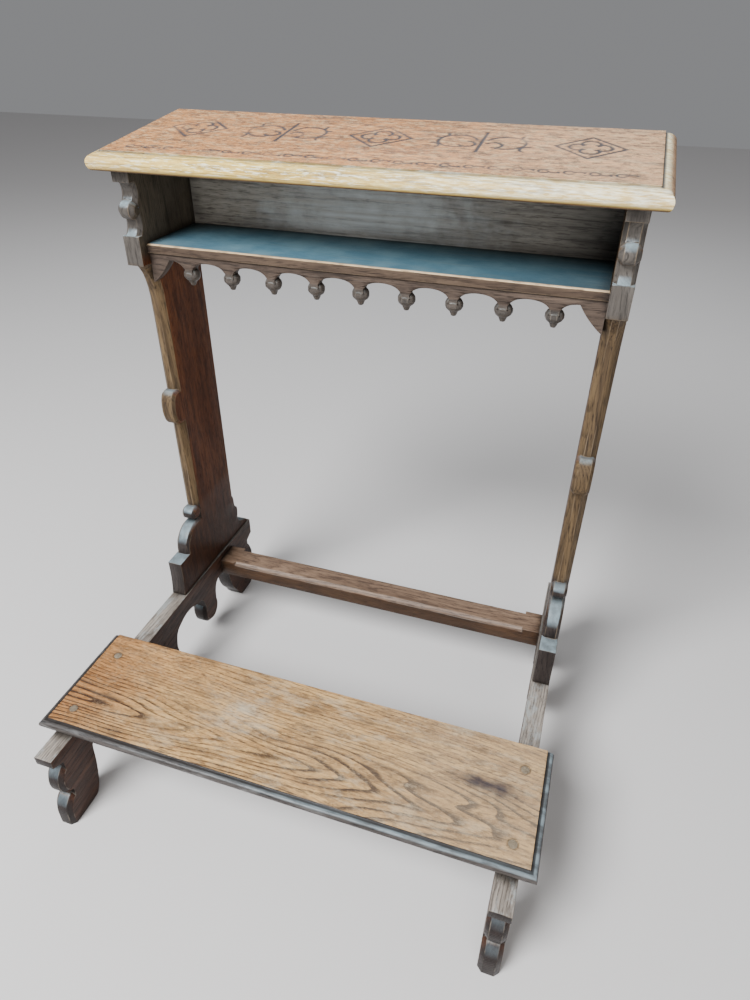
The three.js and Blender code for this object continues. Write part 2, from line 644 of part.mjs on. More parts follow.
place("desk_top", deskTop(), "desk");
place("back_board", backBoard(), "back");
place("book_shelf", shelf(), "shelf");
place("shelf_frieze", frieze(), "frieze");
place("stretcher", stretcher(), "stretcher");
place("kneeling_board", kneelingBoard(), "kneeler");
for (const [name, side] of Object.entries(SIDES)) {
  place(`${name}_upright`, upright(), "upright", side);
  place(`${name}_runner`, runner(), "runner", side);
  place(`${name}_stretcher_peg`, stretcherPegBar(side, 0), "peg");
  PEG_Y.forEach((y, i) => place(`${name}_kneeler_peg_${i + 1}`, kneelerPegBar(side, y, 0), "peg"));
  DOWEL_Y.forEach((y, i) => place(`${name}_desk_dowel_${i + 1}`, dowelBar(side, y, 0), "peg"));
  DRAWBORE_Y.forEach((y, i) => place(`${name}_drawbore_peg_${i + 1}`, drawborePegBar(side, y, 0), "peg"));
}
screwPlaces().forEach(({ x, z }, i) => place(`back_screw_${i + 1}`, screw(x, z), "screw"));

export default prieDieu;
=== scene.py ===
"""Gothic Revival oak prie-dieu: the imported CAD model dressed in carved, waxed and worn oak."""
import json
import math

import bmesh
import bpy
import numpy as np
from mathutils import Matrix, Vector, noise

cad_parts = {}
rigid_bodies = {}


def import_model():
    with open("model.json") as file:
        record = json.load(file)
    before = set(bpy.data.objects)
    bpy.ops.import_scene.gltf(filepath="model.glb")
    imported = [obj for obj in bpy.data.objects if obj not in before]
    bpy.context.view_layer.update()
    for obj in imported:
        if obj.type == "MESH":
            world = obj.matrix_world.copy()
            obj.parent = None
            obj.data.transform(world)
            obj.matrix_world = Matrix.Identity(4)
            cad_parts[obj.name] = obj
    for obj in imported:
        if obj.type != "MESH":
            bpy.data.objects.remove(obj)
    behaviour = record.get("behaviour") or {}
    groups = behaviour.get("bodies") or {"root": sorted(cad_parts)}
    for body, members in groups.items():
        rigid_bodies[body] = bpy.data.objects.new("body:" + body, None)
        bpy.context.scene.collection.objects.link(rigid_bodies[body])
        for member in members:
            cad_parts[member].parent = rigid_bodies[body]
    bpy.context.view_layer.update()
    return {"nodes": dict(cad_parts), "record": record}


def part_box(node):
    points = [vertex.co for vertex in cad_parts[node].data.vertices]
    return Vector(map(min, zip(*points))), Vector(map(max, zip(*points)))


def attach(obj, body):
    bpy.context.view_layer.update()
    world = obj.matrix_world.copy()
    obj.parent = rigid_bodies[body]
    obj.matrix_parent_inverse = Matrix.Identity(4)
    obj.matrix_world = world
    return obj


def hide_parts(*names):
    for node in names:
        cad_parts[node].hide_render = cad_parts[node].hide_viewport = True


for old in list(bpy.data.objects):
    bpy.data.objects.remove(old)
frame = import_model()
RECORD = frame["record"]
MM = 0.001

# ------------------------------------------------------------------ camera, floor and lights
CAMERA_AT = Vector((0.271, -0.652, 0.909))
CAMERA_YAW = math.radians(-17.94)
CAMERA_PITCH = math.radians(34.55)
CAMERA_ROLL = math.radians(0.5)
CAMERA_LENS = 24.9


def make_camera():
    forward = Vector((math.sin(CAMERA_YAW) * math.cos(CAMERA_PITCH),
                      math.cos(CAMERA_YAW) * math.cos(CAMERA_PITCH),
                      -math.sin(CAMERA_PITCH)))
    right = Vector((math.cos(CAMERA_YAW), -math.sin(CAMERA_YAW), 0))
    up = right.cross(forward)
    turned = right * math.cos(CAMERA_ROLL) + up * math.sin(CAMERA_ROLL)
    upright = up * math.cos(CAMERA_ROLL) - right * math.sin(CAMERA_ROLL)
    data = bpy.data.cameras.new("camera")
    data.lens = CAMERA_LENS
    data.sensor_width = 36
    data.clip_start = 0.01
    camera = bpy.data.objects.new("camera", data)
    axes = Matrix((turned, upright, -forward)).transposed().to_4x4()
    camera.matrix_world = Matrix.Translation(CAMERA_AT) @ axes
    bpy.context.scene.collection.objects.link(camera)
    bpy.context.scene.camera = camera


def area_light(name, at, target, size, watts, colour):
    data = bpy.data.lights.new(name, "AREA")
    data.shape = "DISK"
    data.size = size
    data.energy = watts
    data.color = colour
    lamp = bpy.data.objects.new(name, data)
    aim = (Vector(target) - Vector(at)).to_track_quat("-Z", "Y")
    lamp.matrix_world = Matrix.Translation(at) @ aim.to_matrix().to_4x4()
    bpy.context.scene.collection.objects.link(lamp)


def make_studio():
    area_light("key", (-0.95, -1.85, 2.7), (0, 0, 0.4), 1.6, 205, (0.97, 0.985, 1.0))
    area_light("front", (1.3, -2.7, 1.15), (0, 0.1, 0.6), 1.8, 40, (1.0, 0.97, 0.93))
    area_light("sheen", (-0.5, 2.5, 2.2), (0, 0, 0.4), 2.2, 16, (0.86, 0.94, 1.0))
    world = bpy.data.worlds.new("studio")
    world.use_nodes = True
    world.node_tree.nodes["Background"].inputs["Color"].default_value = (0.93, 0.94, 0.97, 1)
    world.node_tree.nodes["Background"].inputs["Strength"].default_value = 0.26
    bpy.context.scene.world = world
    bpy.ops.mesh.primitive_plane_add(size=14, location=(0, 0, 0))
    floor = bpy.context.object
    floor.name = "floor"
    paper = Shader("pale_floor")
    paper.finish(rgb(0.70, 0.68, 0.67), 0.8)
    floor.data.materials.append(paper.material)


# ------------------------------------------------------------------ shader building
COAT_ROUGHNESS = 0.22
OLD_WAX_SPECULAR = 0.14


def rgb(red, green, blue):
    return (red, green, blue, 1.0)


class Shader:
    """One node-based material, with short helpers for the maths that the oak needs."""

    def __init__(self, name):
        self.material = bpy.data.materials.new(name)
        self.material.use_nodes = True
        self.tree = self.material.node_tree
        self.tree.nodes.clear()

    def node(self, kind, inputs=None, **settings):
        made = self.tree.nodes.new(kind)
        for key, value in settings.items():
            setattr(made, key, value)
        for key, value in (inputs or {}).items():
            self.feed(made.inputs[key], value)
        return made

    def feed(self, socket, value):
        if isinstance(value, bpy.types.NodeSocket):
            self.tree.links.new(value, socket)
        else:
            socket.default_value = value

    def maths(self, operation, a, b=0.0):
        return self.node("ShaderNodeMath", {0: a, 1: b}, operation=operation).outputs[0]

    def product(self, first, *others):
        for other in others:
            first = self.maths("MULTIPLY", first, other)
        return first

    def total(self, first, *others):
        for other in others:
            first = self.maths("ADD", first, other)
        return first

    def vector(self, operation, inputs, output="Vector"):
        return self.node("ShaderNodeVectorMath", inputs, operation=operation).outputs[output]

    def span(self, value, low, high, out_low=0.0, out_high=1.0):
        made = self.node("ShaderNodeMapRange", {
            "Value": value, "From Min": low, "From Max": high,
            "To Min": out_low, "To Max": out_high}, interpolation_type="SMOOTHSTEP")
        return made.outputs[0]

    def mix(self, amount, first, second, blend="MIX"):
        made = self.node("ShaderNodeMix", data_type="RGBA", blend_type=blend)
        self.feed(made.inputs[0], amount)
        self.feed(made.inputs[6], first)
        self.feed(made.inputs[7], second)
        return made.outputs[2]

    def place(self, offset=(0, 0, 0), turn=(0, 0, 0), scale=(1, 1, 1), source=None):
        if source is None:
            source = self.node("ShaderNodeTexCoord").outputs["Object"]
        made = self.node("ShaderNodeMapping", {
            "Vector": source, "Location": offset, "Rotation": turn, "Scale": scale})
        return made.outputs[0]

    def cloud(self, where, scale, detail=3.0, roughness=0.55):
        made = self.node("ShaderNodeTexNoise", {
            "Vector": where, "Scale": scale, "Detail": detail, "Roughness": roughness})
        return made.outputs[0]

    def facing(self, direction, low, high):
        """How squarely the surface faces a direction of the model's own frame."""
        normal = self.node("ShaderNodeNewGeometry").outputs["Normal"]
        return self.span(self.vector("DOT_PRODUCT", {0: normal, 1: direction}, "Value"), low, high)

    def position(self, axis):
        """Where the surface is along the model's X, Y or Z, in metres."""
        return self.node("ShaderNodeSeparateXYZ", {0: self.place()}).outputs[axis]

    def level(self, low, high):
        """Fades from 0 to 1 between two heights above the floor."""
        return self.span(self.position("Z"), low, high)

    def inward(self):
        """1 on faces that look towards the middle of the object, 0 elsewhere."""
        normal = self.node("ShaderNodeNewGeometry").outputs["Normal"]
        sideways = self.node("ShaderNodeSeparateXYZ", {0: normal}).outputs["X"]
        return self.span(self.product(sideways, self.position("X")), -0.08, -0.2)

    def near(self, spot, reach, stretch=(1, 1, 1)):
        """1 at a spot, fading to 0 at the reach, with a ragged edge."""
        where = self.place(offset=[-s * k for s, k in zip(spot, stretch)], scale=stretch)
        distance = self.vector("LENGTH", {0: where}, "Value")
        ragged = self.cloud(self.place(), 55, 4)
        distance = self.total(distance, self.product(ragged, reach * 0.9))
        return self.span(distance, reach * 1.5, reach * 0.45)

    # Ambient occlusion: 1 where nearby surfaces close a point in, 0 in the open; it places painted
    # shade.
    def crevice(self, distance):
        shade = self.node("ShaderNodeAmbientOcclusion", {"Distance": distance}, samples=8)
        return self.span(shade.outputs["AO"], 0.95, 0.35)

    def attribute(self, name):
        return self.node("ShaderNodeAttribute", attribute_name=name).outputs["Fac"]

    def finish(self, colour, roughness, height=None, relief=0.3 * MM, coat=0.0):
        surface = self.node("ShaderNodeBsdfPrincipled", {
            "Base Color": colour, "Roughness": roughness, "Coat Weight": coat,
            "Coat Roughness": COAT_ROUGHNESS, "Specular IOR Level": OLD_WAX_SPECULAR})
        if height is not None:
            bump = self.node("ShaderNodeBump", {"Height": height, "Distance": relief, "Strength": 0.9})
            self.tree.links.new(bump.outputs[0], surface.inputs["Normal"])
        output = self.node("ShaderNodeOutputMaterial")
        self.tree.links.new(surface.outputs[0], output.inputs[0])
        return self.material


# Turns that bring each grain direction onto the texture's X axis.
GRAIN_TURN = {"X": (0.0, 0.0, 0.0), "Y": (0.0, 0.0, -math.pi / 2), "Z": (0.0, math.pi / 2, 0.0)}


class Oak(Shader):
    """Oak figure: porous ring lines, fibres, pores and slow changes of tone along the grain."""

    def __init__(self, name, grain, heart, tilt=(0.0, 0.05, 0.04), rings=240.0, warp=0.022):
        super().__init__(name)
        aligned = self.place(turn=GRAIN_TURN[grain])
        warped = self.drifting(self.place(offset=heart, turn=tilt, source=aligned), warp)
        self.line = self.ring_line(warped, rings)
        lengths = self.place(scale=(0.035, 1, 1), source=warped)
        self.fibre = self.cloud(lengths, 620, 5, 0.62)
        self.streak = self.cloud(lengths, 120, 3, 0.5)
        dashes = self.cloud(self.place(scale=(0.05, 1, 1), source=warped), 1050, 2, 0.45)
        porous = self.total(self.product(self.line, 0.75), 0.25)
        self.pores = self.product(self.span(dashes, 0.52, 0.6), porous)
        self.fleck = self.cloud(self.place(scale=(0.14, 1, 1), source=warped), 430, 3, 0.6)
        self.broad = self.cloud(self.place(scale=(0.35, 1, 1), source=aligned), 13, 4)
        self.mottle = self.cloud(self.place(scale=(0.22, 1, 1), source=aligned), 75, 5, 0.6)

    def drifting(self, centred, warp):
        """The grain's own space, pushed about so that the grain never runs quite straight."""
        drift = self.node("ShaderNodeTexNoise", {
            "Vector": self.place(scale=(0.32, 1, 1), source=centred), "Scale": 6.0, "Detail": 2.5})
        moved = self.vector("ADD", {0: drift.outputs["Color"], 1: (-0.5, -0.5, -0.5)})
        moved = self.vector("SCALE", {0: moved, "Scale": warp})
        return self.vector("ADD", {0: centred, 1: moved})

    def ring_line(self, warped, rings):
        """1 on the porous line that starts each year's ring, fading after it."""
        flat = self.place(scale=(0, 1, 1), source=warped)
        radius = self.vector("LENGTH", {0: flat}, "Value")
        seasons = self.cloud(flat, 34, 1)
        years = self.total(self.product(radius, rings), self.product(seasons, 3.0))
        season = self.maths("FRACT", years)
        return self.product(self.span(season, 0.0, 0.07), self.span(season, 0.5, 0.12))

    def wood(self, light, mid, dark, figure=0.55):
        """Three tones laid out by streaks and patches, then ring lines and pores in the darkest."""
        tone = self.total(self.product(self.streak, 0.6), self.product(self.fibre, 0.4))
        base = self.mix(self.span(tone, 0.36, 0.66), light, mid)
        base = self.mix(self.span(self.broad, 0.42, 0.7, 0, 0.5), base, mid)
        base = self.mix(self.span(self.mottle, 0.47, 0.72, 0, 0.55), base, dark)
        broken = self.total(self.product(self.span(self.fibre, 0.35, 0.65), 0.55), 0.45)
        patchy = self.span(self.broad, 0.36, 0.6, 0.4, 1.0)
        base = self.mix(self.product(self.line, broken, figure, patchy), base, dark)
        base = self.mix(self.span(self.fleck, 0.53, 0.66, 0, 0.55), base, dark)
        return self.mix(self.product(self.pores, 0.7), base, dark)

    def rubbed(self, colour, low, high, most, tone):
        """Patches of a second tone, as much as most, where the mottling is strong."""
        return self.mix(self.span(self.mottle, low, high, 0.0, most), colour, tone)

    def grit(self, colour, light, dark, amount):
        """Fine pale and dark specks over worn, unwaxed wood."""
        specks = self.cloud(self.place(scale=(0.6, 1, 1)), 340, 6, 0.8)
        colour = self.mix(self.span(specks, 0.52, 0.60, 0, amount), colour, light)
        return self.mix(self.span(specks, 0.48, 0.40, 0, amount), colour, dark)

    def painted_highlight(self, colour, where, tint=rgb(0.24, 0.31, 0.35), amount=0.75):
        """A painted cool highlight on surfaces that tip up and forward."""
        patches = self.span(self.mottle, 0.3, 0.65, 1.0, 0.45)
        tipped = self.facing((0, -0.5, 0.87), 0.72, 0.97)
        return self.mix(self.product(patches, tipped, where, amount), colour, tint)

    # Painted shade: mixes the colour towards a dark shade colour in hollows and between parts, found by
    # ambient occlusion.
    def hollow_shade(self, colour, shade_colour, distance=0.014, amount=0.75):
        return self.mix(self.product(self.crevice(distance), amount), colour, shade_colour)

    def gloss(self, low, high):
        """Roughness of the wax: it changes in slow patches and fibres and is duller in pores."""
        shine = self.total(self.product(self.broad, 0.7), self.product(self.fibre, 0.3))
        return self.total(self.span(shine, 0.3, 0.75, low, high), self.product(self.pores, 0.2))

    def relief(self):
        """Height of the worn surface: pores sunk, the porous lines a little lower."""
        return self.total(self.product(self.pores, -1.0), self.product(self.line, -0.3),
                          self.product(self.fibre, 0.35))


# ------------------------------------------------------------------ oak finishes
UP, FRONT = (0, 0, 1), (0, -1, 0)
# Colour of the painted shade in the hollows of the uprights and runners.
HOLLOW_SHADE = rgb(0.012, 0.009, 0.007)

# Heights above the floor, in metres, between which a finish changes.
SHADED_FOOT = (0.33, 0.17)
BASE_ROLLS = (0.275, 0.262)
SHELF_BLOCK = (0.645, 0.66)
BOOK_SPACE = (0.655, 0.675)
LOW_DARK_TO_SMOKED = (0.3, 0.5)
RUNNER_ROLLS = (0.128, 0.118)
FRIEZE_BALLS = (0.653, 0.648)
SHELF_NOSE = (0.672, 0.676)

# Marks on the kneeling board, worked out from its box.
KNEE_LOW, KNEE_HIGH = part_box("kneeling_board")
KNEE_DEPTH = KNEE_HIGH.y - KNEE_LOW.y
WORN_SPOT = (KNEE_LOW.x * 0.24, KNEE_LOW.y + KNEE_DEPTH * 0.58, KNEE_HIGH.z)
DARK_STAIN = (KNEE_HIGH.x * 0.78, KNEE_LOW.y + KNEE_DEPTH * 0.57, KNEE_HIGH.z)


def upright_side(oak):
    """Red-brown flanks: dusty beside the books, browner outside, with painted shade on the right
    upright's inner face and near the floor.
    """
    side = oak.wood(rgb(0.175, 0.060, 0.021), rgb(0.078, 0.025, 0.010), rgb(0.014, 0.006, 0.004), 0.5)
    dusty = oak.wood(rgb(0.135, 0.112, 0.082), rgb(0.075, 0.062, 0.046), rgb(0.024, 0.020, 0.016), 0.5)
    side = oak.mix(oak.level(*BOOK_SPACE), side, dusty)
    outside = oak.wood(rgb(0.135, 0.072, 0.034), rgb(0.068, 0.036, 0.018),
                       rgb(0.018, 0.010, 0.007), 0.6)
    # Painted shade: the right upright's inner face is mixed towards the darker outside colour.
    side = oak.mix(oak.span(oak.position("X"), -0.1, 0.1, 0, 0.7), side, outside)
    side = oak.mix(oak.inward(), outside, side)
    shaded = oak.mix(1.0, side, rgb(0.42, 0.48, 0.62), "MULTIPLY")
    return oak.mix(oak.level(*SHADED_FOOT), side, shaded)


def upright_carving(oak):
    """Handled and smoked wood on the blocks and rolls, blacker near the floor."""
    smoked = oak.wood(rgb(0.105, 0.093, 0.082), rgb(0.070, 0.062, 0.055), rgb(0.026, 0.023, 0.021), 0.4)
    # Darker towards the floor.
    low_dark = oak.wood(rgb(0.040, 0.031, 0.028), rgb(0.026, 0.020, 0.018), rgb(0.009, 0.007, 0.007), 0.4)
    return oak.mix(oak.level(*LOW_DARK_TO_SMOKED), low_dark, smoked)


def upright_oak(worn=False):
    oak = Oak("upright_arris" if worn else "upright_oak", "Z", (0.03, 0.31, 0.02), rings=330)
    front = oak.wood(rgb(0.150, 0.100, 0.052), rgb(0.068, 0.045, 0.026), rgb(0.016, 0.011, 0.009), 0.5)
    facing_front = oak.facing(FRONT, 0.28, 0.6)
    colour = oak.mix(facing_front, upright_side(oak), front)
    carved = oak.maths("MAXIMUM", oak.level(*BASE_ROLLS), oak.level(*SHELF_BLOCK))
    carved_front = oak.product(carved, facing_front)
    colour = oak.mix(carved_front, colour, upright_carving(oak))
    # Painted cool highlight on the carved blocks and rolls.
    colour = oak.painted_highlight(colour, carved)
    # Dust and a painted cool reflection on ledges that face up.
    ledge_dust_and_sheen = oak.product(oak.facing(UP, 0.5, 0.9), oak.span(oak.mottle, 0.3, 0.6, 0.75, 0.35))
    colour = oak.mix(ledge_dust_and_sheen, colour, rgb(0.27, 0.34, 0.37))
    # Painted shade in hollows and between parts.
    colour = oak.hollow_shade(colour, HOLLOW_SHADE, 0.012)
    if worn:
        colour = oak.rubbed(colour, 0.42, 0.62, 0.45, rgb(0.24, 0.18, 0.12))
    rough = oak.maths("SUBTRACT", oak.gloss(0.42, 0.62), oak.product(carved, 0.14))
    return oak.finish(colour, rough, oak.relief(), 0.22 * MM, oak.product(carved_front, 0.15))


def runner_oak(worn=False):
    oak = Oak("runner_arris" if worn else "runner_oak", "Y", (0.0, 0.05, -0.2), rings=300)
    side = oak.wood(rgb(0.082, 0.036, 0.021), rgb(0.042, 0.019, 0.012), rgb(0.011, 0.006, 0.005), 0.5)
    top = oak.wood(rgb(0.38, 0.335, 0.29), rgb(0.22, 0.19, 0.16), rgb(0.065, 0.052, 0.045), 0.55)
    # Dust with a painted cool reflection: pale blue-grey patches on the flat tops.
    dust = oak.cloud(oak.place(scale=(1, 0.4, 1)), 60, 6, 0.75)
    top = oak.mix(oak.span(dust, 0.5, 0.62, 0, 0.5), top, rgb(0.38, 0.42, 0.43))
    ends = oak.wood(rgb(0.026, 0.018, 0.016), rgb(0.014, 0.010, 0.009), rgb(0.006, 0.004, 0.004), 0.4)
    colour = oak.mix(oak.facing(FRONT, 0.35, 0.7), side, ends)
    # Painted cool highlight on the runner's rolls, stronger on the left, towards the key lamp.
    left_more = oak.span(oak.position("X"), -0.1, 0.1, 1.0, 0.4)
    colour = oak.painted_highlight(colour, oak.product(oak.level(*RUNNER_ROLLS), left_more), amount=0.55)
    colour = oak.mix(oak.facing(UP, 0.8, 0.97), colour, top)
    # Painted shade in hollows and between parts.
    colour = oak.hollow_shade(colour, HOLLOW_SHADE, 0.016, 0.85)
    if worn:
        colour = oak.rubbed(colour, 0.42, 0.66, 0.45, rgb(0.30, 0.26, 0.21))
    return oak.finish(colour, oak.gloss(0.36, 0.58), oak.relief(), 0.22 * MM, 0.12)


def stretcher_oak(worn=False):
    oak = Oak("stretcher_arris" if worn else "stretcher_oak", "X", (0, -0.14, 0.05), rings=320)
    side = oak.wood(rgb(0.095, 0.05, 0.027), rgb(0.052, 0.029, 0.017), rgb(0.018, 0.011, 0.008))
    top = oak.wood(rgb(0.27, 0.175, 0.115), rgb(0.14, 0.086, 0.056), rgb(0.044, 0.027, 0.020), 0.5)
    colour = oak.mix(oak.facing(UP, 0.35, 0.75), side, top)
    # Painted shade in hollows and between parts.
    colour = oak.hollow_shade(colour, rgb(0.014, 0.010, 0.008))
    if worn:
        colour = oak.rubbed(colour, 0.4, 0.64, 0.5, rgb(0.25, 0.22, 0.19))
    return oak.finish(colour, oak.gloss(0.36, 0.6), oak.relief(), 0.22 * MM, 0.1)


def frieze_oak(worn=False):
    oak = Oak("frieze_arris" if worn else "frieze_oak", "X", (0, 0.02, -0.6), rings=300, warp=0.012)
    body = oak.wood(rgb(0.115, 0.083, 0.064), rgb(0.066, 0.048, 0.038), rgb(0.020, 0.015, 0.013), 0.4)
    off_brackets = oak.span(oak.maths("ABSOLUTE", oak.position("X")), 0.248, 0.243)
    balls = oak.product(oak.level(*FRIEZE_BALLS), off_brackets)
    colour = oak.mix(oak.product(balls, 0.5), body, rgb(0.055, 0.055, 0.052))
    # Painted cool highlight on the frieze's balls.
    colour = oak.painted_highlight(colour, balls, rgb(0.34, 0.38, 0.37), 0.9)
    # Painted shade in hollows and between parts.
    colour = oak.hollow_shade(colour, rgb(0.014, 0.011, 0.010), 0.01)
    if worn:
        colour = oak.rubbed(colour, 0.42, 0.66, 0.4, rgb(0.20, 0.17, 0.14))
    rough = oak.maths("SUBTRACT", oak.gloss(0.38, 0.58), oak.product(balls, 0.14))
    return oak.finish(colour, rough, oak.relief(), 0.18 * MM, oak.product(balls, 0.25))


def shelf_stain(oak):
    """Blue-green stain on the shelf's top, darker to the right."""
    stain = oak.mix(oak.span(oak.cloud(oak.place(), 24, 4), 0.35, 0.7),
                    rgb(0.066, 0.152, 0.205), rgb(0.115, 0.215, 0.262))
    stain = oak.mix(oak.span(oak.position("X"), -0.1, 0.3, 0, 0.45), stain, rgb(0.030, 0.060, 0.078))
    return oak.mix(oak.span(oak.streak, 0.5, 0.78, 0, 0.35), stain, rgb(0.14, 0.175, 0.17))


def shelf_oak(worn=False):
    oak = Oak("shelf_arris" if worn else "shelf_oak", "X", (0, 0.3, -0.55), rings=300, warp=0.012)
    wood = oak.wood(rgb(0.115, 0.08, 0.056), rgb(0.070, 0.048, 0.035), rgb(0.026, 0.018, 0.014), 0.35)
    pale = oak.wood(rgb(0.78, 0.60, 0.38), rgb(0.55, 0.39, 0.22), rgb(0.20, 0.13, 0.08), 0.35)
    rounded = oak.product(oak.facing((0, -0.71, 0.71), 0.76, 0.93), oak.level(*SHELF_NOSE))
    colour = oak.mix(rounded, wood, pale)
    colour = oak.mix(oak.facing(UP, 0.93, 0.995), colour, shelf_stain(oak))
    # Painted shade in hollows and between parts.
    colour = oak.hollow_shade(colour, rgb(0.012, 0.014, 0.015), 0.02, 0.55)
    if worn:
        colour = oak.rubbed(colour, 0.35, 0.65, 0.35, rgb(0.5, 0.38, 0.24))
    return oak.finish(colour, oak.gloss(0.42, 0.66), oak.relief(), 0.15 * MM)


def back_oak(worn=False):
    oak = Oak("back_arris" if worn else "back_oak", "X", (0, 0.1, -0.82), (0.0, 0.0, 0.0), 300, 0.006)
    body = oak.wood(rgb(0.35, 0.330, 0.290), rgb(0.20, 0.187, 0.166), rgb(0.070, 0.063, 0.056), 0.3)
    # Painted reflection: a pale blue-grey gleam round one spot near the middle of the back board.
    painted_gleam = oak.product(oak.near((-0.03, 0.232, 0.70), 0.12, (0.55, 1, 1.3)),
                        oak.span(oak.streak, 0.3, 0.65, 0.35, 0.95))
    body = oak.mix(oak.span(oak.position("X"), 0.02, 0.27, 0, 0.35), body, rgb(0.085, 0.084, 0.084))
    colour = oak.mix(painted_gleam, body, rgb(0.52, 0.57, 0.59))
    outside = oak.wood(rgb(0.19, 0.125, 0.078), rgb(0.11, 0.070, 0.044), rgb(0.034, 0.023, 0.017), 0.5)
    colour = oak.mix(oak.facing(FRONT, 0.6, 0.2), colour, outside)
    # Painted shade in hollows and between parts.
    colour = oak.hollow_shade(colour, rgb(0.02, 0.018, 0.017), 0.03, 0.5)
    if worn:
        colour = oak.mix(0.3, colour, rgb(0.3, 0.25, 0.19))
    return oak.finish(colour, oak.gloss(0.4, 0.62), oak.relief(), 0.22 * MM)


def kneeler_top(oak, across):
    """Figured golden oak, browner to the left and greyer to the right, under dust and soil."""
    depth = oak.position("Y")
    figure = oak.span(depth, WORN_SPOT[1] + 0.03, WORN_SPOT[1] - 0.05, 0.55, 1.8)
    top = oak.wood(rgb(0.70, 0.43, 0.175), rgb(0.40, 0.220, 0.085), rgb(0.060, 0.034, 0.023), figure)
    browner = oak.mix(1.0, top, rgb(0.68, 0.44, 0.33), "MULTIPLY")
    top = oak.mix(oak.span(across, 0.05, -0.22, 0, 0.75), top, browner)
    top = oak.mix(oak.span(across, 0.10, 0.46, 0, 0.35), top, rgb(0.44, 0.36, 0.265))
    dust = oak.cloud(oak.place(scale=(0.35, 1, 1)), 60, 8, 0.78)
    chalky = oak.product(oak.span(dust, 0.5, 0.64, 0, 0.5), oak.span(across, -0.2, 0.2, 0.1, 1))
    top = oak.mix(chalky, top, rgb(0.58, 0.47, 0.32))
    soil = oak.cloud(oak.place((2, 5, 0), scale=(0.3, 1, 1)), 95, 7, 0.75)
    top = oak.mix(oak.span(soil, 0.5, 0.64, 0, 0.55), top, rgb(0.15, 0.10, 0.062))
    worn = oak.product(oak.near(WORN_SPOT, 0.05, (0.8, 1, 1)), oak.span(dust, 0.4, 0.6, 0.1, 0.6))
    top = oak.mix(worn, top, rgb(0.55, 0.49, 0.38))
    top = oak.grit(top, rgb(0.66, 0.48, 0.28), rgb(0.13, 0.080, 0.048), 0.22)
    stain = oak.product(oak.near(DARK_STAIN, 0.034, (0.5, 1.9, 1)), 0.92)
    return oak.mix(stain, top, rgb(0.035, 0.032, 0.045))


def kneeler_edge(oak, across):
    """Black moulding, rubbed grey, with a painted cool highlight along its upper side towards the right.
    """
    edge = oak.wood(rgb(0.078, 0.067, 0.062), rgb(0.042, 0.036, 0.033), rgb(0.012, 0.010, 0.010), 0.3)
    edge = oak.rubbed(edge, 0.5, 0.66, 0.5, rgb(0.19, 0.185, 0.18))
    # Painted highlight on the nose where it faces up.
    nose_highlight = oak.product(oak.facing(UP, 0.5, 0.95), oak.span(across, -0.05, 0.36, 0.05, 0.8),
                         oak.span(oak.mottle, 0.36, 0.6, 0.3, 1.0))
    return oak.mix(nose_highlight, edge, rgb(0.25, 0.31, 0.34))


def kneeler_oak():
    oak = Oak("kneeler_oak", "X", (0.12, 0.185, -0.205), tilt=(0.0, 0.10, 0.03), rings=215, warp=0.075)
    blotch = oak.cloud(oak.place(), 9, 4)
    across = oak.total(oak.position("X"), oak.product(blotch, 0.3))
    on_edge = oak.attribute("edge")
    colour = oak.mix(on_edge, kneeler_top(oak, across), kneeler_edge(oak, across))
    # Dark fill round the plugs, soiled, and in the quirk, soiled and in painted shadow.
    colour = oak.mix(oak.product(oak.attribute("dark"), 0.9), colour, rgb(0.018, 0.015, 0.014))
    # Painted shade in hollows and between parts.
    colour = oak.hollow_shade(colour, rgb(0.03, 0.02, 0.015), 0.008, 0.6)
    return oak.finish(colour, oak.gloss(0.38, 0.62), oak.relief(), coat=oak.product(on_edge, 0.2))


def desk_surface(oak, across):
    """Red-gold oak, paler to the right, with pale patches, dark stains and fine specks."""
    top = oak.wood(rgb(0.88, 0.410, 0.145), rgb(0.56, 0.235, 0.082), rgb(0.085, 0.044, 0.028), 0.85)
    top = oak.mix(oak.span(across, -0.02, 0.30, 0, 0.35), top, rgb(0.70, 0.56, 0.40))
    pale = oak.cloud(oak.place(scale=(0.5, 1, 1)), 125, 7, 0.78)
    top = oak.mix(oak.span(pale, 0.5, 0.58, 0, 0.4), top, rgb(0.76, 0.60, 0.36))
    stains = oak.cloud(oak.place((3, 1, 0), scale=(0.42, 1, 1)), 130, 7, 0.78)
    top = oak.mix(oak.span(stains, 0.5, 0.58, 0, 0.7), top, rgb(0.115, 0.070, 0.050))
    return oak.grit(top, rgb(0.90, 0.64, 0.36), rgb(0.10, 0.065, 0.052), 0.25)


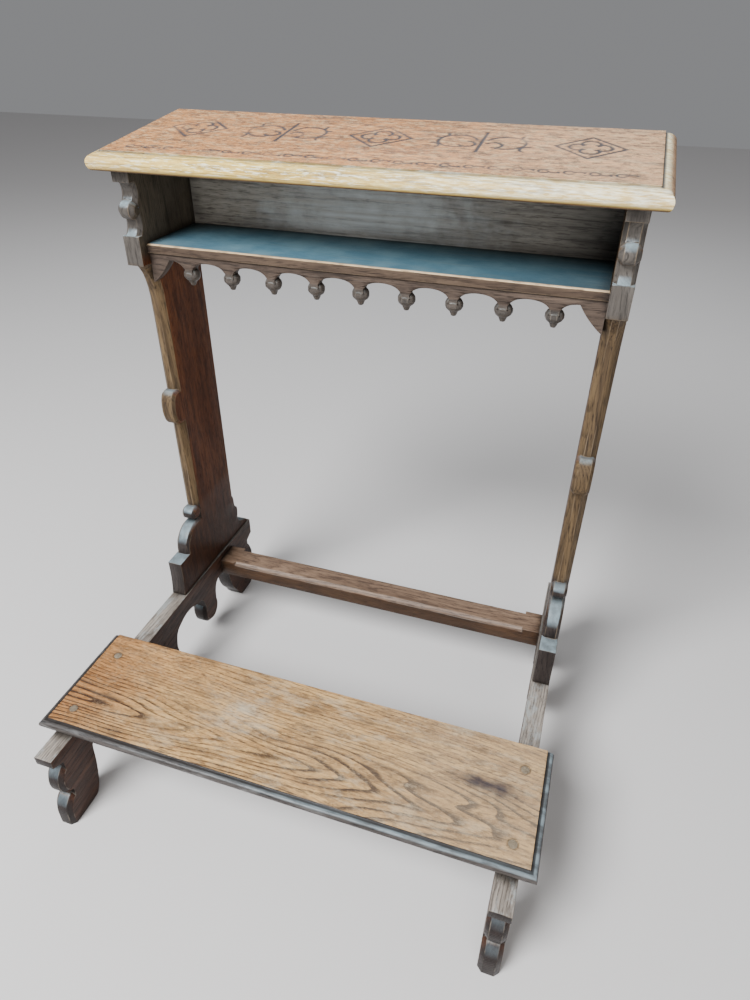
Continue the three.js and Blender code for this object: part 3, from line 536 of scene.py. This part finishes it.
def desk_rim(oak, across, top):
    """Golden moulding with broken gilt, handled at both ends, raw wood behind and underneath."""
    rim = oak.wood(rgb(1.0, 0.82, 0.28), rgb(0.78, 0.52, 0.12), rgb(0.20, 0.125, 0.045), 0.9)
    gilt = oak.cloud(oak.place((1, 4, 2), scale=(0.12, 1, 1)), 520, 4, 0.65)
    rim = oak.mix(oak.span(across, -0.12, 0.28, 0, 0.5), rim, rgb(1.0, 0.97, 0.78))
    rim = oak.mix(oak.span(gilt, 0.5, 0.60, 0, 0.65), rim, rgb(0.60, 0.38, 0.10))
    rim = oak.mix(oak.span(gilt, 0.48, 0.38, 0, 0.7), rim, rgb(1.0, 1.0, 0.82))
    # Painted shade on the thumbnail's underside, where it faces down and forward.
    rim = oak.mix(oak.facing((0, -0.6, -0.8), 0.75, 0.98), rim, rgb(0.42, 0.30, 0.09))
    rim = oak.mix(oak.span(across, -0.17, -0.33, 0, 0.5), rim, rgb(0.55, 0.38, 0.17))
    raw = oak.wood(rgb(0.21, 0.135, 0.075), rgb(0.13, 0.082, 0.045), rgb(0.045, 0.028, 0.018), 0.6)
    unseen = oak.maths("MAXIMUM", oak.facing(FRONT, -0.3, -0.6), oak.facing(UP, -0.5, -0.8))
    rim = oak.mix(unseen, rim, raw)
    handled = oak.mix(0.45, top, rgb(0.17, 0.115, 0.085))
    for end in (1, -1):
        rim = oak.mix(oak.facing((end, 0, 0), 0.12, 0.6), rim, handled)
    return rim


def desk_oak():
    oak = Oak("desk_oak", "X", (0.05, 0.18, -0.86), tilt=(0.0, -0.03, 0.02), rings=330, warp=0.03)
    across = oak.position("X")
    top = desk_surface(oak, across)
    colour = oak.mix(oak.attribute("edge"), top, desk_rim(oak, across, top))
    # Dark fill in the carving, soiled, and in the quirk, soiled and in painted shadow.
    colour = oak.mix(oak.product(oak.attribute("dark"), 0.92), colour, rgb(0.050, 0.053, 0.066))
    # Painted shade in hollows and between parts.
    colour = oak.hollow_shade(colour, rgb(0.05, 0.035, 0.028), 0.008, 0.6)
    return oak.finish(colour, oak.gloss(0.42, 0.66), oak.relief())


def peg_oak():
    oak = Oak("peg_oak", "Z", (0.0, 0.0, 0.0), rings=900, warp=0.01)
    body = oak.wood(rgb(0.34, 0.28, 0.20), rgb(0.23, 0.185, 0.13), rgb(0.08, 0.058, 0.042), 0.6)
    # Painted shade in hollows and between parts.
    colour = oak.hollow_shade(body, rgb(0.03, 0.022, 0.018), 0.003, 0.8)
    return oak.finish(colour, oak.gloss(0.35, 0.5), oak.relief(), 0.2 * MM)


def screw_steel():
    steel = Shader("screw_steel")
    rust = steel.cloud(steel.place(), 900, 5)
    brushed = steel.cloud(steel.place(scale=(1, 1, 0.1)), 4000, 2)
    colour = steel.mix(steel.span(rust, 0.42, 0.66), rgb(0.30, 0.28, 0.26), rgb(0.11, 0.055, 0.03))
    material = steel.finish(colour, steel.span(rust, 0.35, 0.7, 0.35, 0.8), brushed, 0.05 * MM)
    shader = next(n for n in material.node_tree.nodes if n.type == "BSDF_PRINCIPLED")
    steel.feed(shader.inputs["Metallic"], steel.span(rust, 0.7, 0.5))
    return material


# ------------------------------------------------------------------ geometry from the frame
ARRIS_WIDTH = 0.6 * MM              # how far wear has rounded an arris over
ARRIS_ANGLE = math.radians(34)      # edges sharper than this are arrises
CREASE_ANGLE = math.radians(26)     # edges sharper than this stay crisp under smoothing
FLAT_ANGLE = math.radians(0.6)      # faces closer than this are one face
SHELF_ROUND = 4.5 * MM              # radius of the shelf's front edge


def spread(node, direction):
    """The lowest and highest reach of a CAD node along a direction."""
    reach = [v.co.dot(direction) for v in frame["nodes"][node].data.vertices]
    return min(reach), max(reach)


def link(name, mesh):
    piece = bpy.data.objects.new(name, mesh)
    bpy.context.scene.collection.objects.link(piece)
    return piece


def apply_modifiers(piece):
    depsgraph = bpy.context.evaluated_depsgraph_get()
    mesh = bpy.data.meshes.new_from_object(piece.evaluated_get(depsgraph))
    piece.modifiers.clear()
    piece.data = mesh


def round_front(bm, radius):
    """Round over the long top front edge of a shelf."""
    front = min(v.co.y for v in bm.verts)
    top = max(v.co.z for v in bm.verts)
    edges = [e for e in bm.edges
             if all(v.co.y < front + 0.01 * MM and v.co.z > top - 0.01 * MM for v in e.verts)]
    bmesh.ops.bevel(bm, geom=edges, offset=radius, segments=6, profile=0.5, affect="EDGES")


def board_mesh(node):
    """The CAD board in clean faces, with a crease wherever smoothing must not round it."""
    bm = bmesh.new()
    bm.from_mesh(frame["nodes"][node].data)
    bmesh.ops.remove_doubles(bm, verts=bm.verts, dist=0.05 * MM)
    bmesh.ops.dissolve_limit(bm, angle_limit=FLAT_ANGLE, verts=bm.verts, edges=bm.edges)
    if node == "book_shelf":
        round_front(bm, SHELF_ROUND)
    bmesh.ops.triangulate(bm, faces=[f for f in bm.faces if len(f.verts) > 4])
    crease = bm.edges.layers.float.new("crease_edge")
    for edge in bm.edges:
        if edge.calc_face_angle(0.0) > CREASE_ANGLE:
            edge[crease] = 1.0
    mesh = bpy.data.meshes.new(node + "_oak")
    bm.to_mesh(mesh)
    bm.free()
    return mesh


def joinery(node, body, arris):
    """A board cut by the joiner: the CAD solid with rounded-over, worn arrises."""
    piece = link(node + "_oak", board_mesh(node))
    piece.data.materials.append(body)
    piece.data.materials.append(arris)
    smooth = piece.modifiers.new("curves", "SUBSURF")
    smooth.levels = smooth.render_levels = 1
    smooth.use_creases = True
    round_over = piece.modifiers.new("arrises", "BEVEL")
    round_over.width = ARRIS_WIDTH
    round_over.segments = 2
    round_over.limit_method = "ANGLE"
    round_over.angle_limit = ARRIS_ANGLE
    round_over.use_clamp_overlap = False
    round_over.material = 1
    apply_modifiers(piece)
    piece.data.shade_smooth()
    piece.data.set_sharp_from_angle(angle=math.radians(40))
    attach(piece, "root")
    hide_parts(node)


def bend(start, control, end, steps):
    """Points on a quadratic curve, after its start."""
    points = []
    for i in range(1, steps + 1):
        t = i / steps
        points.append(tuple((1 - t) ** 2 * a + 2 * t * (1 - t) * b + t * t * c
                            for a, b, c in zip(start, control, end)))
    return points


def thumbnail_edge(thick):
    """Desk nosing as (distance in from the edge, depth below the top): fillet and thumbnail."""
    points = [(14, 0), (13.8, 0.3), (13.8, 1.6), (13.4, 1.9), (12, 1.8)]
    points += bend((12, 1.8), (0.5, 2.8), (0, 11), 12)
    points += bend((0, 11), (0, 18.5), (4, thick), 8)
    return points


def nosed_edge(thick):
    """Kneeling board edge: quirk, half-round nose and cavetto."""
    points = [(9, 0), (8.8, 0.3), (8.8, 2.3), (8.4, 2.6), (6, 2.6)]
    points += bend((6, 2.6), (0, 2.6), (0, 8.2), 8)
    points += bend((0, 8.2), (0, 13.8), (6, 13.8), 8)
    points += [(8, 13.8)] + bend((8, 13.8), (8, 19), (14, thick), 6)
    return points


EDGE_WEAR = 0.25 * MM    # how far wear moves a moulding in or out
END_QUIRK = 0.95         # how dark the quirk is on a board's ends, soiled and in painted shadow


class MouldedBoard:
    """A board with a fine carved or worn top and a moulding run along its front and both ends."""

    def __init__(self, node, normal, edge, spacing, quirk, front_quirk):
        """quirk is the shallowest drop, the deepest drop and the least run of the dark quirk, in
        millimetres:
        soiled and in painted shadow. front_quirk is how dark it is along the front."""
        self.node = node
        self.quirk = [size * MM for size in quirk]
        self.front_quirk = front_quirk
        self.normal = Vector(normal).normalized()
        self.along = Vector((1, 0, 0)).cross(self.normal) * -1
        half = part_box(node)[1].x
        low, high = spread(node, self.along)
        bottom, top = spread(node, self.normal)
        self.edge = [(run * MM, drop * MM) for run, drop in edge((top - bottom) / MM)]
        inset = self.edge[0][0]
        self.origin = self.along * low + self.normal * top
        self.flat_x = half - inset
        self.flat_y = (inset, high - low)
        self.nx = int(2 * self.flat_x / spacing) + 1
        self.ny = int((high - low - inset) / spacing) + 1
        xs = np.linspace(-self.flat_x, self.flat_x, self.nx)
        ys = np.linspace(*self.flat_y, self.ny)
        self.x, self.y = np.meshgrid(xs, ys)

    def border(self):
        """Indices round the border of the top's grid, from its front left corner."""
        nx, ny = self.nx, self.ny
        front = list(range(nx))
        right = [row * nx + nx - 1 for row in range(1, ny)]
        back = [(ny - 1) * nx + column for column in range(nx - 2, -1, -1)]
        left = [row * nx for row in range(ny - 2, 0, -1)]
        return front + right + back + left

    def ring(self, points, border, run, drop):
        """The border moved out and down to one point of the moulding, and how dark it is there: soiled,
        with painted shadow in the quirk.
        """
        inset, bottom = self.edge[0][0], self.edge[-1][1]
        in_quirk = self.quirk[0] <= drop <= self.quirk[1] and run > self.quirk[2]
        ring, marks = [], []
        for i in border:
            x, y, _ = points[i]
            row, column = divmod(i, self.nx)
            side = (column == self.nx - 1) - (column == 0)
            front = -1 if row == 0 else 0
            wear = EDGE_WEAR * noise.noise(Vector((x * 9, y * 9, drop * 60)))
            out = inset - run + (0.0 if drop == bottom else wear)
            ring.append((x + side * out, y + front * out, -drop))
            marks.append((END_QUIRK if side else self.front_quirk) if in_quirk else 0.0)
        return ring, marks

    def build(self, material, height, dark):
        """height and dark are arrays over the top: rise in metres, and how soiled it is."""
        nx, ny = self.nx, self.ny
        points = np.stack([self.x.ravel(), self.y.ravel(), height.ravel()], axis=1).tolist()
        marks = dark.ravel().tolist()
        faces = [(r * nx + c, r * nx + c + 1, (r + 1) * nx + c + 1, (r + 1) * nx + c)
                 for r in range(ny - 1) for c in range(nx - 1)]
        border = self.border()
        count = len(border)
        above = border
        for run, drop in self.edge[1:]:
            below = list(range(len(points), len(points) + count))
            ring, ring_marks = self.ring(points, border, run, drop)
            points += ring
            marks += ring_marks
            faces += [(below[k], below[(k + 1) % count], above[(k + 1) % count], above[k])
                      for k in range(count)]
            above = below
        faces.append(tuple(reversed(above)))
        on_edge = [0.0] * (nx * ny) + [1.0] * (len(points) - nx * ny)
        self.fit(points, faces, {"edge": on_edge, "dark": marks}, material)

    def fit(self, points, faces, attributes, material):
        """The mesh in the object's own space, in place of the CAD board."""
        placed = [self.origin + Vector((1, 0, 0)) * x + self.along * y + self.normal * z
                  for x, y, z in points]
        mesh = bpy.data.meshes.new(self.node + "_oak")
        mesh.from_pydata(placed, [], faces)
        mesh.materials.append(material)
        for name, values in attributes.items():
            mesh.attributes.new(name, "FLOAT", "POINT").data.foreach_set("value", values)
        mesh.shade_smooth()
        mesh.set_sharp_from_angle(angle=math.radians(50))
        piece = link(self.node + "_oak", mesh)
        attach(piece, "root")
        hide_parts(self.node)


# ------------------------------------------------------------------ carving on the desk
def arc(x, y, radius, start, end, steps=10, squash=1.0):
    turn = [math.radians(start + (end - start) * i / steps) for i in range(steps + 1)]
    return [(x + radius * math.cos(t), y + radius * squash * math.sin(t)) for t in turn]


def quatrefoil(x, y, size):
    """Four round foils inside a lozenge."""
    strokes = []
    for quarter in range(4):
        turn = 90 * quarter
        foil_x = x + size * 0.42 * math.cos(math.radians(turn))
        foil_y = y + size * 0.42 * math.sin(math.radians(turn))
        strokes.append(arc(foil_x, foil_y, size * 0.36, turn - 125, turn + 125))
    reach = size * 1.28
    strokes.append([(x + reach, y), (x, y + reach), (x - reach, y), (x, y - reach), (x + reach, y)])
    return strokes


def leaf_scroll(x, y, size, hand):
    """A C-scroll with a curled tip and two side leaves."""
    strokes = [arc(x, y, size, 90 - 70 * hand, 90 + 200 * hand, 16)]
    strokes.append(arc(x + hand * size * 0.55, y - size * 0.42, size * 0.42, -150 * hand, 90 * hand, 12))
    strokes.append(arc(x - hand * size * 1.15, y + size * 0.95, size * 0.5, -90, -90 + 120 * hand, 8))
    strokes.append(arc(x - hand * size * 1.25, y - size * 0.9, size * 0.45, 90, 90 - 130 * hand, 8))
    return strokes


def border_curls(half, y, pitch):
    """A row of little open curls, each with a leaf beside it and a punched bead between."""
    strokes, beads = [], []
    count = int(half / pitch)
    for i in range(-count, count + 1):
        x = i * pitch
        hand = 1 if i % 2 else -1
        strokes.append(arc(x - 4 * MM, y, 5 * MM, 40 * hand, 310 * hand, 12, 0.9))
        strokes.append(arc(x + 6 * MM, y - hand * 3 * MM, 6 * MM, 150 * hand, 30 * hand, 6))
        beads.append((x + pitch / 2 - 1 * MM, y + hand * 3 * MM))
    return strokes, beads


STROKE_REACH = 4 * MM       # no groove is wider than this on either side of its stroke


def stroke_distance(x, y, strokes):
    """Distance from every point of a grid to the nearest stroke, where one is in reach."""
    nearest = np.full(x.shape, 1.0)
    for stroke in strokes:
        for (ax, ay), (bx, by) in zip(stroke, stroke[1:]):
            dx, dy = bx - ax, by - ay
            near = ((x > min(ax, bx) - STROKE_REACH) & (x < max(ax, bx) + STROKE_REACH)
                    & (y > min(ay, by) - STROKE_REACH) & (y < max(ay, by) + STROKE_REACH))
            px, py = x[near] - ax, y[near] - ay
            t = np.clip((px * dx + py * dy) / (dx * dx + dy * dy + 1e-12), 0, 1)
            nearest[near] = np.minimum(nearest[near], np.hypot(px - t * dx, py - t * dy))
    return nearest


def uneven(x, y, scale, seed):
    """Smooth noise over a grid, from -1 to 1."""
    values = [noise.noise(Vector((u * scale, v * scale, seed))) for u, v in zip(x.ravel(), y.ravel())]
    return np.array(values).reshape(x.shape)


def grooves(distance, half_width):
    return np.clip(1 - distance / half_width, 0, 1)


DESK_GRID = 1.28 * MM       # spacing of the carved top's points
DESK_QUIRK = (0.2, 2.1, 11.9)
QUATREFOIL_SIZE = 29 * MM
SCROLL_RADIUS = 22 * MM
SCROLL_OFFSET = 27 * MM     # from the post between two scrolls to either scroll's middle
POST_REACH = 36 * MM        # half the length of that post
CURL_PITCH = 25 * MM
BOLD_CUT, FINE_CUT, PUNCH = 1.1 * MM, 0.6 * MM, 0.7 * MM


def bold_carving(half, middle):
    """Quatrefoils and pairs of leaf scrolls in turn along the desk."""
    strokes = []
    for i, x in enumerate(np.linspace(-0.76, 0.76, 5) * half):
        if i % 2 == 0:
            strokes += quatrefoil(x, middle, QUATREFOIL_SIZE)
        else:
            strokes += leaf_scroll(x - SCROLL_OFFSET, middle, SCROLL_RADIUS, 1)
            strokes += leaf_scroll(x + SCROLL_OFFSET, middle, SCROLL_RADIUS, -1)
            strokes.append([(x, middle - POST_REACH), (x, middle + POST_REACH)])
    return strokes


def desk_board():
    mount = next(m for m in RECORD["mounts"] if m["name"] == "desk_face")
    board = MouldedBoard("desk_top", mount["axis"], thumbnail_edge, DESK_GRID, DESK_QUIRK, 0.5)
    x, y = board.x, board.y
    half, (front, back) = board.flat_x, board.flat_y
    bold = bold_carving(half, front + (back - front) * 0.58)
    fine, beads = border_curls(half - 14 * MM, front + 20 * MM, CURL_PITCH)
    worn = np.clip(0.72 + 0.9 * uneven(x, y, 22, 3.0), 0.12, 1)
    deep = grooves(stroke_distance(x, y, bold), 2.7 * MM) * worn
    shallow = grooves(stroke_distance(x, y, fine), 2.0 * MM) * worn
    punched = np.zeros_like(deep)
    for bead_x, bead_y in beads:
        punched = np.maximum(punched, grooves(np.hypot(x - bead_x, y - bead_y), 2.0 * MM))
    height = -BOLD_CUT * deep - FINE_CUT * shallow - PUNCH * punched
    height += 0.22 * MM * uneven(x, y, 14, 8.0)
    height += 0.13 * MM * uneven(x * 0.12, y, 330, 4.0)
    dark = np.clip(deep * 2.4 + shallow * 1.9 + punched * 1.5, 0, 1)
    board.build(desk_oak(), height, dark)


# ------------------------------------------------------------------ kneeling board
KNEE_GRID = 1.9 * MM
KNEE_QUIRK = (2.2, 2.7, 5.9)
KNEE_HOLLOW = (0.085, 0.055)     # how far each knee's hollow reaches, across and in depth
KNEE_HOLLOW_DEPTH = 0.9 * MM


def peg_rims(x, y):
    """How soiled the ring round each plug in the kneeling board is."""
    dark = np.zeros_like(x)
    for node in frame["nodes"]:
        if "kneeler_peg" in node:
            low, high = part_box(node)
            middle = (low + high) / 2
            radius = (high.x - low.x) / 2
            rim = np.abs(np.hypot(x - middle.x, y - middle.y) - radius - 0.5 * MM)
            dark = np.maximum(dark, 0.8 * grooves(rim, 1.8 * MM))
    return dark


def knee_board():
    board = MouldedBoard("kneeling_board", UP, nosed_edge, KNEE_GRID, KNEE_QUIRK, 0.9)
    x, y = board.x, board.y + KNEE_LOW.y
    height = 0.25 * MM * uneven(x, y, 11, 1.0) + 0.10 * MM * uneven(x * 0.1, y, 240, 6.0)
    for side in (-1, 1):
        across = (x - side * 0.36 * KNEE_HIGH.x) / KNEE_HOLLOW[0]
        inward = (y - WORN_SPOT[1]) / KNEE_HOLLOW[1]
        height -= KNEE_HOLLOW_DEPTH * np.exp(-across ** 2 - inward ** 2)
    dark = peg_rims(x, y)
    height -= 0.3 * MM * dark
    board.build(kneeler_oak(), height, dark)


# ------------------------------------------------------------------ pegs and screws
TURNED_SIDES = 32


def lathe(name, profile, at, turn):
    """A turned solid: (radius, height) points from one end of the axis to the other."""
    sides = TURNED_SIDES
    points, faces = [], []
    for radius, height in profile:
        for k in range(sides):
            angle = 2 * math.pi * k / sides
            points.append(Vector((radius * math.cos(angle), radius * math.sin(angle), height)))
    for ring in range(len(profile) - 1):
        for k in range(sides):
            here, beside = ring * sides + k, ring * sides + (k + 1) % sides
            faces.append((here, beside, beside + sides, here + sides))
    faces.append(tuple(range(sides))[::-1])
    faces.append(tuple(range((len(profile) - 1) * sides, len(profile) * sides)))
    mesh = bpy.data.meshes.new(name)
    mesh.from_pydata([turn @ p + at for p in points], [], faces)
    mesh.shade_smooth()
    mesh.set_sharp_from_angle(angle=math.radians(45))
    return link(name, mesh)


def turned_peg(node, axis, material):
    """A riven oak peg: slightly domed, with a softened rim at its seen end."""
    low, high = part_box(node)
    size = high - low
    index = "XYZ".index(axis[-1])
    sign = -1 if axis[0] == "-" else 1
    radius = min(size) / 2
    length = size[index]
    direction = Vector((0, 0, 0))
    direction[index] = sign
    turn = Vector((0, 0, 1)).rotation_difference(direction).to_matrix()
    foot = (low + high) / 2 - direction * length / 2
    profile = [(radius * 0.8, 0), (radius, 1.5 * MM), (radius, length - 0.9 * MM),
               (radius * 0.95, length - 0.35 * MM), (radius * 0.8, length - 0.12 * MM),
               (radius * 0.45, length - 0.02 * MM), (radius * 0.1, length)]
    piece = lathe(node + "_turned", profile, foot, turn)
    piece.data.materials.append(material)
    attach(piece, "root")
    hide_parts(node)


def dress_fixings():
    oak, steel = peg_oak(), screw_steel()
    for node, solid in frame["nodes"].items():
        if "kneeler_peg" in node:
            turned_peg(node, "+Z", oak)
        elif "drawbore_peg" in node:
            turned_peg(node, "-X" if node.startswith("left") else "+X", oak)
        elif "screw" in node:
            solid.material_slots[0].material = steel
        elif "peg" in node or "dowel" in node:
            solid.material_slots[0].material = oak


# ------------------------------------------------------------------ assembly
def build_boards():
    finishes = {
        "upright_oak": (upright_oak, ["left_upright", "right_upright"]),
        "runner_oak": (runner_oak, ["left_runner", "right_runner"]),
        "stretcher_oak": (stretcher_oak, ["stretcher"]),
        "frieze_oak": (frieze_oak, ["shelf_frieze"]),
        "shelf_oak": (shelf_oak, ["book_shelf"]),
        "back_oak": (back_oak, ["back_board"]),
    }
    for slot, (make, nodes) in finishes.items():
        body, arris = make(), make(worn=True)
        for node in nodes:
            joinery(node, body, arris)


make_camera()
make_studio()
build_boards()
desk_board()
knee_board()
dress_fixings()
